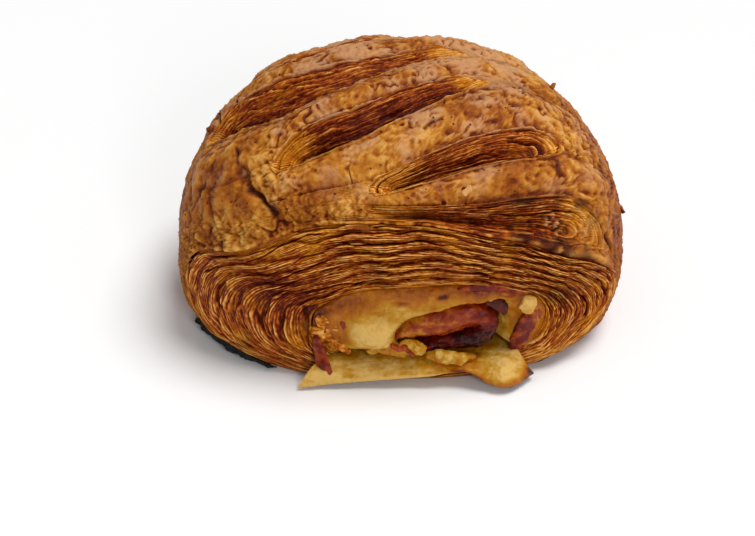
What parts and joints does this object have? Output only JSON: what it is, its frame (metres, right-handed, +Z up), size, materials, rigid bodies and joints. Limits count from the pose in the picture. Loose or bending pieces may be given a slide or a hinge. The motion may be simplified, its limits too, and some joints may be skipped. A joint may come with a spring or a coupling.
{
  "type": "ham and cheese croissant",
  "caption": "Flattened roll of baked laminated dough, scored diagonally across its top, with folded ham and melted cheese showing at its open ends.",
  "frame": {"origin": "on the surface the roll rests on, under the middle of its rounded body", "axes": "+Z up from the resting surface, +X across the roll to the right as its shown open end is faced, and -Y towards that open end"},
  "size_m": [0.1313, 0.1111, 0.0748],
  "materials": {
    "baked_dough": "golden-brown egg-washed crust, soft gloss",
    "ham": "dark red baked ham, moist",
    "melted_cheese": "pale yellow melted cheese, slightly translucent",
    "burnt_cheese": "black burnt cheese"
  },
  "bodies": {
    "root": {"pastry": "baked_dough", "ham_lining": "ham", "ham_fold": "ham", "cheese_core": "melted_cheese", "cheese_sheet": "melted_cheese", "burnt_cheese": "burnt_cheese"}
  },
  "joints": []
}
